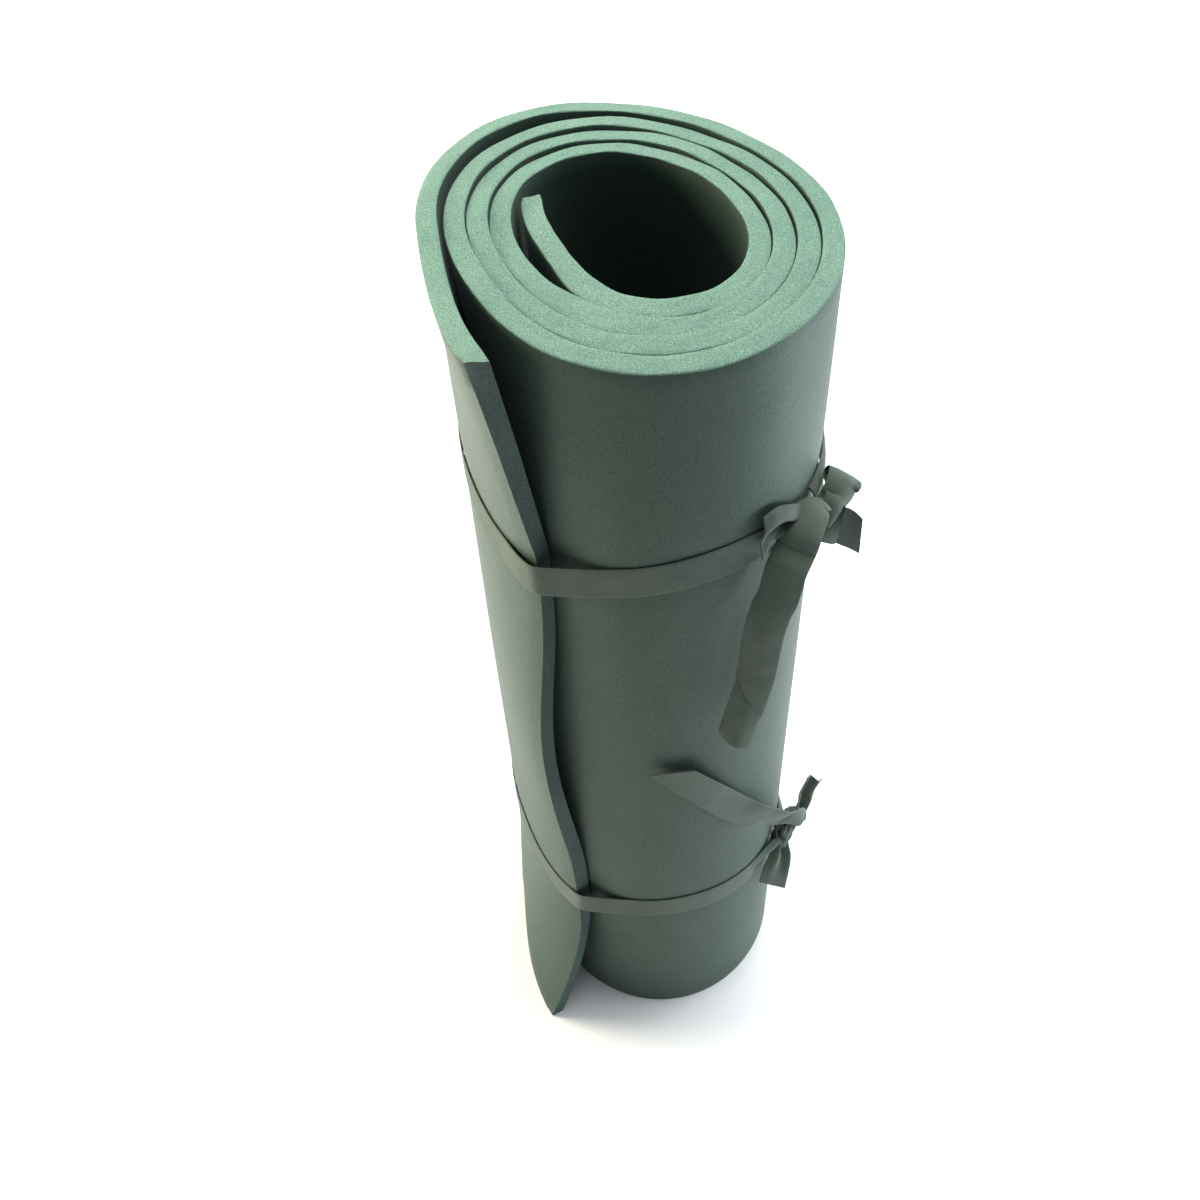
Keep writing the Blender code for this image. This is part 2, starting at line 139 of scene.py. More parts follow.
# Where a band spans the hollow beside the flap's end, in degrees past it and before it
FLAP_BRIDGE = 34.0
FLAP_BRIDGE_LEAD = 4.0
FLAP_BRIDGE_EASE = 15.0

# A band's route: points round the roll, passes of smoothing, and where across its width it touches
ROUTE_POINTS = 360
ROUTE_SMOOTHINGS = 4
ROUTE_TOUCHES = (-0.4, 0, 0.4)

UPPER_TIE_HEIGHT = 0.481
UPPER_TIE_SLOPE = 0.07
LOWER_TIE_HEIGHT = 0.150
LOWER_TIE_SLOPE = -0.09

# The knots' centres from the roll's axis, in millimetres, and their headings
UPPER_KNOT = (85.1, -53.2, 482.6)
LOWER_KNOT = (91.3, -38.8, 148.3)
UPPER_KNOT_HEADING = -32.0
LOWER_KNOT_HEADING = -23.0

# How a band's two ends go into its knot: the length that changes, the part of the width that is
# drawn in, the turn of the width in degrees, the lift off the foam and the rise, both in metres.
# The first end lies behind the knot and the second in front of it.
UPPER_BAND_ENDS = ((0.045, 0.10, 15.0, 0.0, -0.0010), (0.046, 0.42, 0.0, 0.0044, -0.0055))
LOWER_BAND_ENDS = ((0.030, 0.25, 20.0, 0.0025, 0.0040), (0.034, 0.50, 0.0, 0.0046, 0.0050))

# Where a tape leaves its plane: heading and half-width in degrees, and how far it rises
UPPER_BAND_WANDER = ((222.0, 75.0, -0.0095), (292.0, 40.0, 0.0038))
LOWER_BAND_WANDER = ((222.0, 75.0, -0.017), (290.0, 45.0, 0.004))

# Free ends: how far from the tip a slanted cut reaches back, and how sharp a crease is
SLANT_REACH = 1.5 * TAPE_WIDTH
CREASE_ROUND = 0.002

# Camera, solved from the photograph: the focal length as a share of the picture's width
SENSOR_MM = 36
FOCAL_SHARE = 1407.2 / 1200
CAMERA_PLACE = (0.0, -0.499, 0.982)
CAMERA_YAW = -2.61
CAMERA_PITCH = 51.57
CAMERA_ROLL = -3.30


def heading_of(turn):
    """Plan angle, in radians, of a place on the winding."""
    return math.pi + 2 * math.pi * turn


def ease(x):
    """Smooth step from 0 to 1."""
    x = np.clip(x, 0, 1)
    return x * x * (3 - 2 * x)


def lobe(angle, centre, width):
    """Smooth bump of height 1 round a heading, gone at width degrees to either side."""
    off = (np.degrees(angle) - centre + 180) % 360 - 180
    return np.where(np.abs(off) < width, np.cos(math.pi / 2 * off / width) ** 2, 0)


def pinch_half_height(slope):
    """Half of the height that a tape covers as it slopes round the roll."""
    radius = math.sqrt(CORE_RADIUS ** 2 + MAT_LENGTH * TURN_PITCH / math.pi)
    return TAPE_WIDTH / 2 + abs(slope) * radius


def waist(z):
    """1 where the ties draw the roll in, falling away at its two ends."""
    head = np.clip(1 - (MAT_WIDTH - z) / FLARE_LENGTH, 0, 1) ** HEAD_FLARE_POWER
    foot = np.clip(1 - z / FOOT_FLARE_LENGTH, 0, 1) ** FOOT_FLARE_POWER
    return 1 - WAIST_LOST_AT_HEAD * head - WAIST_LOST_AT_FOOT * foot


def loose_parts(z):
    """How free a height is of both tapes: above them, between them and below them."""
    under = UPPER_TIE_HEIGHT - pinch_half_height(UPPER_TIE_SLOPE) - 0.5 * FLAP_TIE_DIP
    over = UPPER_TIE_HEIGHT + pinch_half_height(UPPER_TIE_SLOPE) - FLAP_TIE_DIP
    low_over = LOWER_TIE_HEIGHT + pinch_half_height(LOWER_TIE_SLOPE) - FLAP_LOW_TIE_DIP
    low_under = LOWER_TIE_HEIGHT - pinch_half_height(LOWER_TIE_SLOPE)
    head = np.clip((z - over) / (MAT_WIDTH - over), 0, 1)
    middle = np.sin(math.pi * np.clip((z - low_over) / (under - low_over), 0, 1)) ** 2
    foot = np.clip(1 - z / low_under, 0, 1) ** FOOT_SLACK_POWER
    return head, middle, foot


def slack(z):
    """How loose the outer turn is at a height: 0 under both tapes."""
    head, middle, foot = loose_parts(z)
    return head + MIDDLE_SLACK * middle + FOOT_SLACK * foot


def winding_radius(turn, z):
    """Radius of the sheet's middle surface without the looseness of the outer turn."""
    angle = heading_of(turn)
    oval = angle - math.radians(OVAL_HEADING)
    triangle = angle - math.radians(TRIANGLE_HEADING)
    outer = np.clip(turn / EVEN_TURNS, 0, 1)
    radius = CORE_RADIUS + CORE_MORE * (1 - outer) + FOAM_THICKNESS / 2 + TURN_PITCH * turn
    radius = radius + (OVAL - CORE_OVAL_LESS * (1 - outer)) * np.cos(2 * oval)
    radius = radius + LEAN * np.cos(oval)
    radius = radius + TRIANGLE * outer * np.cos(3 * triangle)
    side = HEEL_SHARE * lobe(angle, HEEL_HEADING, HEEL_WIDTH)
    side = side - lobe(angle, WAIST_HEADING, WAIST_WIDTH)
    tongue = np.clip((turn - INNER_TURN) / TONGUE_TURNS, 0, 1)
    start = TONGUE_LEAD ** TONGUE_SKEW
    whole = (1 + TONGUE_LEAD) ** TONGUE_SKEW - start
    along = ((tongue + TONGUE_LEAD) ** TONGUE_SKEW - start) / whole
    drop = TONGUE_DROP * np.sin(math.pi * np.clip(along, 0, 1)) ** TONGUE_POWER
    return radius + WAIST * waist(z) * side - drop


def outer_lift(turn, z, last_turn):
    """How far the loose outer turn stands off the winding."""
    begun = ease((turn - last_turn + BULGE_TURNS) / BULGE_EASE_TURNS)
    grip = np.clip(BULGE_UNDER_TAPE + (1 - BULGE_UNDER_TAPE) * slack(z), 0, 1)
    bulge = BULGE * grip * lobe(heading_of(turn), BULGE_HEADING, BULGE_WIDTH) * begun
    flap = np.clip(1 - (last_turn - turn) / FLAP_TURNS, 0, None)
    return bulge + FLAP_LIFT * slack(z) * flap ** FLAP_POWER


def middle_line(turns, z, last_turn):
    """Plan points of the sheet's middle surface at one height."""
    radius = winding_radius(turns, z) + outer_lift(turns, z, last_turn)
    angle = heading_of(turns)
    return np.stack([radius * np.cos(angle), radius * np.sin(angle)], axis=-1)


def end_turn_at(z, last_turn):
    """The free end hangs back where the turn is loose, and runs on a little towards the foot."""
    head, middle, foot = loose_parts(z)
    back = HEAD_DRIFT * head + MIDDLE_DRIFT * middle + FOOT_DRIFT * foot
    return last_turn - back + TIP_SKEW * np.clip(1 - z / UPPER_TIE_HEIGHT, 0, 1)


def tie_plane(upper):
    """Height of a tape at the axis, and how it slopes along +X."""
    if upper:
        return UPPER_TIE_HEIGHT, UPPER_TIE_SLOPE
    return LOWER_TIE_HEIGHT, LOWER_TIE_SLOPE


def band_height(x, y, upper):
    """Height of a tape's middle at a plan place, in the roll's own frame."""
    lobes = UPPER_BAND_WANDER if upper else LOWER_BAND_WANDER
    height, slope = tie_plane(upper)
    angle = np.arctan2(y, x)
    wander = sum(amount * lobe(angle, centre, width) for centre, width, amount in lobes)
    return height + slope * x + wander


def sheet_section(z, turns, last_turn):
    """Middle points and outward normals of the sheet at one height."""
    line = middle_line(turns, z, last_turn)
    along = np.gradient(line, axis=0)
    along /= np.linalg.norm(along, axis=1)[:, None]
    return line, np.stack([along[:, 1], -along[:, 0]], axis=-1)


def pressed_at(turns, z, last_turn, line, out, way):
    """How far the sheet fills the gap to the next turn, out or in, where turns press together."""
    beyond = turns + way
    here = winding_radius(turns, z) + outer_lift(turns, z, last_turn)
    there = winding_radius(beyond, z) + outer_lift(beyond, z, last_turn)
    facing = (out * line).sum(axis=1) / np.linalg.norm(line, axis=1)
    gap = np.abs(there - here) * facing - FOAM_THICKNESS
    angle = heading_of(turns)
    inner = ease(PRESS_GAIN * lobe(angle, PRESS_HEADING, PRESS_WIDTH))
    outer = ease(PRESS_GAIN * lobe(angle, OUTER_PRESS_HEADING, OUTER_PRESS_WIDTH))
    reach = np.where(np.maximum(turns, beyond) > last_turn - 1, outer, inner)
    inside = last_turn - FLAP_TURNS - beyond if way > 0 else beyond - INNER_TURN
    covered = ease(inside / PRESS_EASE_TURNS)
    return np.clip(gap / 2 - PRESS_LEFT, 0, None) * reach * covered


def pinch_at(x, y, z):
    """How far the tapes press the outer face in."""
    depth = 0
    for upper in (True, False):
        off = np.abs(z - band_height(x, y, upper)) / PINCH_REACH
        depth = depth + np.where(off < 1, np.cos(math.pi / 2 * np.clip(off, 0, 1)) ** 2, 0)
    return PINCH * depth


def new_object(name, mesh):
    """An object of the scene from a mesh."""
    made = bpy.data.objects.new(name, mesh)
    bpy.context.scene.collection.objects.link(made)
    return made


def profile_of_cut():
    """Closed outline of the sheet's section: offset from its middle, height, and whether cut."""
    half = FOAM_THICKNESS / 2
    steps = np.linspace(0, 1, round(MAT_WIDTH / ROW_STEP) + 1)
    rows = [EDGE_ROUND + (MAT_WIDTH - 2 * EDGE_ROUND) * step for step in steps]
    corner = EDGE_ROUND * (1 - math.sqrt(0.5))
    outline = []
    for z in rows:
        outline.append((half, z, False))
    outline.append((half - corner, MAT_WIDTH - corner, True))
    for share in np.linspace(1, -1, CUT_COLUMNS):
        outline.append(((half - EDGE_ROUND) * share, MAT_WIDTH, True))
    outline.append((-half + corner, MAT_WIDTH - corner, True))
    for z in reversed(rows):
        outline.append((-half, z, False))
    outline.append((-half + corner, corner, True))
    for share in np.linspace(-1, 1, 3):
        outline.append(((half - EDGE_ROUND) * share, 0.0, True))
    outline.append((half - corner, corner, True))
    return outline


def build_mat(last_turn, axis, looks):
    """The foam sheet: its section swept along the winding, its two ends closed."""
    outline = profile_of_cut()
    count = round((last_turn - INNER_TURN) * COLUMNS_PER_TURN)
    half = FOAM_THICKNESS / 2
    grid = np.zeros((len(outline), count + 1, 3))
    for row, (offset, z, _) in enumerate(outline):
        head = loose_parts(z)[0]
        low = ease((CUT_SKEW_REACH[1] - z) / CUT_SKEW_EASES[1])
        low = low * ease((z - CUT_SKEW_REACH[0]) / CUT_SKEW_EASES[0])
        inside = (1 - offset / half) / 2
        end = end_turn_at(z, last_turn) + CUT_SKEW_HEAD * head * inside
        end = end - CUT_SKEW_FOOT * low * (1 - inside)
        shares = np.linspace(0, 1, count + 1)
        turns = INNER_TURN + shares * (end - INNER_TURN)
        line, out = sheet_section(z, turns, last_turn)
        near_end = np.minimum(np.arange(count + 1), count - np.arange(count + 1))
        squeeze = np.where(near_end == 0, 1 - EDGE_ROUND / half, 1)
        filled = pressed_at(turns, z, last_turn, line, out, 1 if offset > 0 else -1) * offset / half
        points = line + out * (offset * squeeze + filled)[:, None]
        if offset > 0:
            loose = turns > end - 1
            dent = pinch_at(points[:, 0], points[:, 1], z) * loose * offset / half
            points -= out * dent[:, None]
        tilt = CUT_TILT * (offset / half + 1) / 2 if z > MAT_WIDTH / 2 else 0
        top = ease((z - MAT_WIDTH + CUT_DEPTH) / CUT_DEPTH)
        wave = CUT_WAVE * sum(share * np.sin(turns * rate + phase + offset * across)
                              for rate, phase, share, across in CUT_WAVES)
        grid[row, :, :2] = points
        grid[row, :, 2] = z - tilt * top + wave * top
    mesh = bpy.data.meshes.new("mat_roll_foam")
    form = bmesh.new()
    verts = [[form.verts.new(Vector(place) + axis) for place in row] for row in grid]
    rows = len(outline)
    for row in range(rows):
        nxt = (row + 1) % rows
        is_cut = outline[row][2] or outline[nxt][2]
        for column in range(count):
            face = form.faces.new((verts[row][column], verts[row][column + 1],
                                   verts[nxt][column + 1], verts[nxt][column]))
            face.smooth = True
            face.material_index = 1 if is_cut else 0
    outer = [row for row in range(rows) if outline[row][0] > 0 and not outline[row][2]]
    inner = [row for row in range(rows) if outline[row][0] < 0 and not outline[row][2]]
    inner.reverse()
    # The ends are closed with material 2, the cut face's colours made darker and bluer: painted
    # shade
    for column in (0, count):
        for a, b, c, d in zip(outer, outer[1:], inner, inner[1:]):
            corners = [verts[a][column], verts[b][column], verts[d][column], verts[c][column]]
            face = form.faces.new(corners if column == 0 else corners[::-1])
            face.material_index = 2
        top = [verts[row][column] for row in range(outer[-1], inner_first(outline) + 1)]
        low = [verts[row % rows][column] for row in range(rows - foot_rows(outline) - 1, rows + 1)]
        for ring in (top, low):
            face = form.faces.new(ring)
            face.material_index = 2
    bmesh.ops.recalc_face_normals(form, faces=form.faces)
    form.to_mesh(mesh)
    form.free()
    for look in looks:
        mesh.materials.append(look)
    mesh.set_sharp_from_angle(angle=math.radians(50))
    return new_object("mat_roll_foam", mesh)


def inner_first(outline):
    """Row of the outline where the inner face starts, at the head."""
    return next(row for row, part in enumerate(outline) if part[0] < 0 and not part[2])


def foot_rows(outline):
    """How many rows of the outline make the lower cut edge."""
    count = 0
    for part in reversed(outline):
        if not part[2]:
            return count
        count += 1
    return count


def run_along(points):
    """Length run from the first point to each point of a line."""
    return np.concatenate([[0], np.cumsum(np.linalg.norm(np.diff(points, axis=0), axis=1))])


def convex_hull(points):
    """Corners of the convex hull of plan points, counter-clockwise."""
    ordered = sorted(map(tuple, points))

    def half(sequence):
        chain = []
        for point in sequence:
            while len(chain) > 1:
                (ax, ay), (bx, by) = chain[-2:]
                if (bx - ax) * (point[1] - ay) - (by - ay) * (point[0] - ax) > 0:
                    break
                chain.pop()
            chain.append(point)
        return chain[:-1]

    return np.array(half(ordered) + half(reversed(ordered)))


def taut_route(upper, last_turn):
    """Closed plan route of a taut tape, close round the roll, from heading 0 on."""
    height, slope = tie_plane(upper)
    turns = np.linspace(INNER_TURN + 2, float(end_turn_at(height, last_turn)), 700)
    reach = pinch_half_height(slope)
    touched = []
    for z in (height - reach, height, height + reach):
        line, out = sheet_section(z, turns, last_turn)
        touched.append(line + out * (FOAM_THICKNESS / 2))
    hull = convex_hull(np.concatenate(touched))
    closed = np.concatenate([hull, hull[:1]])
    run = run_along(closed)
    marks = np.linspace(0, run[-1], ROUTE_POINTS + 1)[:-1]
    even = np.stack([np.interp(marks, run, closed[:, axis]) for axis in (0, 1)], axis=-1)
    even = drawn_on(even, height, upper, last_turn)
    for _ in range(ROUTE_SMOOTHINGS):
        even = 0.25 * np.roll(even, 1, axis=0) + 0.5 * even + 0.25 * np.roll(even, -1, axis=0)
    along = np.roll(even, -1, axis=0) - np.roll(even, 1, axis=0)
    along /= np.linalg.norm(along, axis=1)[:, None]
    out = np.stack([along[:, 1], -along[:, 0]], axis=-1)
    return even + out * (TAPE_CLEARANCE + TAPE_THICKNESS / 2 - TAPE_SINK), out


def outer_face(angle, z, last_turn):
    """Plan radius of the roll's outer face at a heading and a height."""
    end = end_turn_at(z, last_turn)
    turn = end - ((heading_of(end) - angle) % (2 * math.pi)) / (2 * math.pi)
    return winding_radius(turn, z) + outer_lift(turn, z, last_turn) + FOAM_THICKNESS / 2


def drawn_on(route, height, upper, last_turn):
    """The route, drawn on to hollow foam, but not where the flap's end props the tape."""
    angle = np.arctan2(route[:, 1], route[:, 0])
    radius = np.linalg.norm(route, axis=1)
    middle = band_height(route[:, 0], route[:, 1], upper)
    faces = [outer_face(angle, middle + part * TAPE_WIDTH, last_turn) for part in ROUTE_TOUCHES]
    near = np.max(faces, axis=0)
    flap_heading = float(heading_of(end_turn_at(height, last_turn)))
    past = np.degrees((angle - flap_heading + math.pi) % (2 * math.pi) - math.pi)
    free = np.where(past > 0, ease((past - FLAP_BRIDGE) / FLAP_BRIDGE_EASE),
                    ease((-past - FLAP_BRIDGE_LEAD) / FLAP_BRIDGE_EASE))
    drawn = np.minimum(radius, near + TAPE_STAND_OFF)
    return route * ((radius + (drawn - radius) * free) / radius)[:, None]


def fold_depth(share):
    """Depth of a tape's lengthwise folds, as a part of its drawn-in width, for a width share."""
    slopes = np.linspace(0, 8, 81)
    phases = np.linspace(0, 2 * math.pi, 73)
    lengths = np.sqrt(1 + (slopes[:, None] * np.cos(phases)) ** 2).mean(axis=1)
    return np.interp(1 / np.clip(share, 0.3, 1), lengths, slopes) / (2 * math.pi)


def tape_mesh(name, centres, sides, normals, widths, material, folds=1.5, phase=0.0, across=20):
    """A woven tape: a thin closed ribbon on a route, with its length and width as UV in metres.
    Where it is drawn in narrower than it was woven, it lies in lengthwise folds."""
    centres, sides, normals = np.array(centres), np.array(sides), np.array(normals)
    widths = np.broadcast_to(widths, len(centres))
    depths = fold_depth(widths / TAPE_WIDTH) / folds * widths
    run = run_along(centres)
    shares = np.linspace(-0.5, 0.5, across + 1)
    waves = np.sin(2 * math.pi * folds * shares + phase)
    mesh = bpy.data.meshes.new(name)
    form = bmesh.new()
    layer = form.loops.layers.uv.new("weave")
    faces_of = []
    for sign in (1, -1):
        rows = []
        for i in range(len(centres)):
            line = np.stack([shares * widths[i], waves * depths[i]], axis=-1)
            way = np.gradient(line, axis=0)
            way /= np.linalg.norm(way, axis=1)[:, None]
            rim = np.where(np.abs(shares) < 0.5, 1, 0.55) * sign * TAPE_THICKNESS / 2
            line = line + np.stack([-way[:, 1], way[:, 0]], axis=-1) * rim[:, None]
            points = centres[i] + np.outer(line[:, 0], sides[i]) + np.outer(line[:, 1], normals[i])
            rows.append([form.verts.new(Vector(point)) for point in points])
        faces_of.append(rows)
    front, back = faces_of
    uv_of = {}
    for rows in faces_of:
        for i, row in enumerate(rows):
            for share, vert in zip(shares, row):
                uv_of[vert] = (run[i], share * TAPE_WIDTH)

    def face(*verts):
        made = form.faces.new(verts)
        made.smooth = True
        for loop in made.loops:
            loop[layer].uv = uv_of[loop.vert]

    last = len(centres) - 1
    for i in range(last):
        for j in range(across):
            face(front[i][j], front[i][j + 1], front[i + 1][j + 1], front[i + 1][j])
            face(back[i][j], back[i + 1][j], back[i + 1][j + 1], back[i][j + 1])
        face(front[i][0], front[i + 1][0], back[i + 1][0], back[i][0])
        face(front[i][across], back[i][across], back[i + 1][across], front[i + 1][across])
    for j in range(across):
        face(front[0][j], back[0][j], back[0][j + 1], front[0][j + 1])
        face(front[last][j], front[last][j + 1], back[last][j + 1], back[last][j])
    bmesh.ops.recalc_face_normals(form, faces=form.faces)
    form.to_mesh(mesh)
    form.free()
    mesh.materials.append(material)
    mesh.set_sharp_from_angle(angle=math.radians(60))
    return new_object(name, mesh), float(run[-1])


def build_band(name, upper, heading, ends, last_turn, axis, material):
    """One tape round the roll. Its ends draw in, turn and lift where they go into the knot."""
    route, outward = taut_route(upper, last_turn)
    target = math.radians(heading)
    angles = (np.arctan2(route[:, 1], route[:, 0]) - target) % (2 * math.pi)
    order = np.argsort(angles)
    route, outward = route[order], outward[order]
    run = run_along(route)
    total = run[-1]
    knot_out = np.array((math.cos(target), math.sin(target), 0))
    centres, sides, normals, widths = [], [], [], []
    for place, flat, at in zip(route, outward, run):
        length, lost, twist, lift, rise = ends[0] if at < total / 2 else ends[1]
        drawn = float(ease(1 - min(at, total - at) / length))
        turn = math.radians(twist) * drawn
        out = np.array((*flat, 0))
        up = np.array((0, 0, 1))
        half = TAPE_WIDTH * (1 - lost * drawn) / 2
        centre = np.array((*place, float(band_height(*place, upper)) + rise * drawn))
        centre = centre + out * half * math.sin(turn) + up * half * (1 - math.cos(turn))
        centres.append(centre + knot_out * lift * drawn ** 2 + np.array(axis))
        sides.append(up * math.cos(turn) - out * math.sin(turn))
        normals.append(out * math.cos(turn) + up * math.sin(turn))
        widths.append(2 * half)
    return tape_mesh(name, centres, sides, normals, widths, material, folds=1)


def spline(values, count):
    """Evenly spaced values on a Catmull-Rom curve through the given rows."""
    rows = np.array(values, dtype=float)
    padded = np.concatenate([[2 * rows[0] - rows[1]], rows, [2 * rows[-1] - rows[-2]]])
    dense = []
    for a, b, c, d in zip(padded, padded[1:], padded[2:], padded[3:]):
        for t in np.linspace(0, 1, 24, endpoint=False):
            bend = (2 * a - 5 * b + 4 * c - d) * t ** 2 + (3 * b - a - 3 * c + d) * t ** 3
            dense.append(0.5 * (2 * b + (c - a) * t + bend))
    dense.append(rows[-1])
    dense = np.array(dense)
    run = run_along(dense[:, :3])
    marks = np.linspace(0, run[-1], count + 1)
    return np.stack([np.interp(marks, run, column) for column in dense.T], axis=-1)


def ribbon(name, knot, stations, axis, material, count=48, crease=None, slant=0.0, **folding):
    """A free tape end. Each station gives its middle in millimetres from the knot's centre, the way
    its width runs, and its width as a share of the tape's. A crease is given by its distance from
    the tip in millimetres, its lean and its bend in degrees."""
    route = spline(stations, count)
    centres = (route[:, :3] + np.array(knot)) * MM + np.array(axis)
    along = np.gradient(centres, axis=0)
    along /= np.linalg.norm(along, axis=1)[:, None]
    sides = route[:, 3:6]
    sides = sides - along * (sides * along).sum(axis=1)[:, None]
    sides /= np.linalg.norm(sides, axis=1)[:, None]
    normals = np.cross(sides, along)
    widths = route[:, 6] * TAPE_WIDTH
    made, length = tape_mesh(name, centres, sides, normals, widths, material, **folding)
    mesh = made.data
    tip, way, side, normal = (Vector(rows[-1]) for rows in (centres, along, sides, normals))
    if slant:
        for vert in mesh.vertices:
            behind = (tip - vert.co).dot(way)
            if behind < SLANT_REACH:
                share = float(ease(1 - behind / SLANT_REACH))
                vert.co += way * slant * (vert.co - tip).dot(side) * share
    if crease:
        back_off, lean, bend = crease
        pivot = tip - way * back_off * MM
        line = (side + way * lean).normalized()
        beyond = line.cross(normal)
        if beyond.dot(way) < 0:
            beyond.negate()
        for vert in mesh.vertices:
            past = (vert.co - pivot).dot(beyond)
            if past > 0:
                turn = math.radians(bend) * float(ease(past / CREASE_ROUND))
                vert.co = pivot + Matrix.Rotation(turn, 3, line) @ (vert.co - pivot)
    mesh.update()
    return made, length


def knot_lump(name, knot, heading, lean, size, axis, material):
    """The knot's body: tape drawn tight into a lump whose folds run round it and cross."""
    out = Vector((math.cos(math.radians(heading)), math.sin(math.radians(heading)), 0))
    along = Vector((0, 0, 1)).cross(out)
    up = Matrix.Rotation(math.radians(lean), 3, out) @ Vector((0, 0, 1))
    along = Matrix.Rotation(math.radians(lean), 3, out) @ along
    mesh = bpy.data.meshes.new(name)
    form = bmesh.new()
    bmesh.ops.create_uvsphere(form, u_segments=72, v_segments=44, radius=1)
    layer = form.loops.layers.uv.new("weave")
    centre = Vector(knot) * MM + axis
    home = {}
    for vert in form.verts:
        unit = vert.co.copy()
        turn = math.atan2(unit.y, unit.x)
        swirl = math.sin(4 * turn + 3.0 * unit.z) * 0.10
        swirl += math.sin(7 * turn - 4.2 * unit.z + 1.0) * 0.05
        cross = -0.16 * math.exp(-((unit.z - 0.35 * math.sin(turn * 2)) / 0.16) ** 2)
        press = 1 + (swirl + cross) * (1 - unit.z ** 4)
        local = out * unit.x * size[0] / 2 + along * unit.y * size[1] / 2
        local += up * unit.z * size[2] / 2
        home[vert.index] = (turn * 0.008, unit.z * 0.011)
        vert.co = centre + local * press * MM
    for face in form.faces:
        face.smooth = True
        for loop in face.loops:
            loop[layer].uv = home[loop.vert.index]
    form.to_mesh(mesh)
    form.free()
    mesh.materials.append(material)
    return new_object(name, mesh)


class Shade:
    """A short way to put nodes into a material and join them."""

    def __init__(self, name):
        self.material = bpy.data.materials.new(name)
        self.material.use_nodes = True
        self.tree = self.material.node_tree
        self.shader = self.tree.nodes["Principled BSDF"]

    def add(self, kind, settings=None, **inputs):
        """A node with its settings, its inputs given as values or as other nodes' sockets."""
        node = self.tree.nodes.new(kind)
        for key, value in (settings or {}).items():
            setattr(node, key, value)
        for key, value in inputs.items():
            self.join(node, key.replace("_", " "), value)
        return node

    def join(self, node, key, value):
        """Sets one input, by its name or its number."""
        numbered = key[0] == "i" and key[1:].isdigit()
        socket = node.inputs[int(key[1:]) if numbered else key]
        if isinstance(value, bpy.types.NodeSocket):
            self.tree.links.new(value, socket)
        else:
            socket.default_value = value

    def noise(self, vector, scale, detail=3.0, roughness=0.55):
        """Noise value of 0 to 1."""
        made = self.add("ShaderNodeTexNoise", Vector=vector, Scale=scale, Detail=detail,
                        Roughness=roughness)
        return made.outputs["Fac"]

    def ramp(self, value, stops):
        """Colours along a value."""
        made = self.add("ShaderNodeValToRGB", Fac=value)
        ramp = made.color_ramp
        while len(ramp.elements) < len(stops):
            ramp.elements.new(0.5)
        for element, (place, color) in zip(ramp.elements, stops):
            element.position = place
            element.color = (*color, 1)
        return made.outputs["Color"]

    def span(self, value, low, high, to_low=0.0, to_high=1.0):
        """Maps a range of values on to another."""
        made = self.add("ShaderNodeMapRange", Value=value)
        for key, number in zip(("From Min", "From Max", "To Min", "To Max"),
                               (low, high, to_low, to_high)):
            made.inputs[key].default_value = number
        return made.outputs["Result"]

    def mix(self, share, first, second, blend="MIX"):
        """Two colours mixed."""
        made = self.add("ShaderNodeMix", {"data_type": "RGBA", "blend_type": blend},
                        i0=share, i6=first, i7=second)
        return made.outputs[2]

    def bump(self, height, strength, distance, normal=None):
        """A bumped normal."""
        made = self.add("ShaderNodeBump", Height=height, Strength=strength, Distance=distance)
        if normal is not None:
            self.join(made, "Normal", normal)
        return made.outputs["Normal"]

    def place(self, kind="Object"):
        """Texture coordinates."""
        return self.add("ShaderNodeTexCoord").outputs[kind]


def foam_skin():
    """The heat-sealed face of the foam: dark grey-green, finely pebbled."""
    shade = Shade("foam_skin")
    place = shade.place()
    cloud = shade.noise(place, 11.0, 4.0)
    grain = shade.noise(place, 1150.0, 2.0, 0.6)
    color = shade.ramp(shade.span(cloud, 0.35, 0.65),
                       ((0.0, (0.031, 0.051, 0.041)), (1.0, (0.041, 0.063, 0.051))))
    speck = shade.ramp(shade.span(grain, 0.3, 0.7),
                       ((0.0, (0.74, 0.76, 0.80)), (1.0, (1.24, 1.22, 1.16))))
    shade.join(shade.shader, "Base Color", shade.mix(1.0, color, speck, "MULTIPLY"))
    cells = shade.add("ShaderNodeTexVoronoi", Vector=place, Scale=900.0)
    normal = shade.bump(cells.outputs["Distance"], 0.10, 0.0004)
    normal = shade.bump(grain, 0.12, 0.0003, normal)
    shade.join(shade.shader, "Normal", normal)
    shade.join(shade.shader, "Roughness", shade.span(grain, 0.3, 0.7, 0.62, 0.50))
    shade.shader.inputs["Specular IOR Level"].default_value = 0.28
    shade.shader.inputs["Specular Tint"].default_value = (0.80, 1.0, 0.88, 1)
    shade.shader.inputs["Sheen Weight"].default_value = 0.07
    shade.shader.inputs["Sheen Roughness"].default_value = 0.4
    shade.shader.inputs["Sheen Tint"].default_value = (0.80, 1.0, 0.90, 1)
    return shade.material


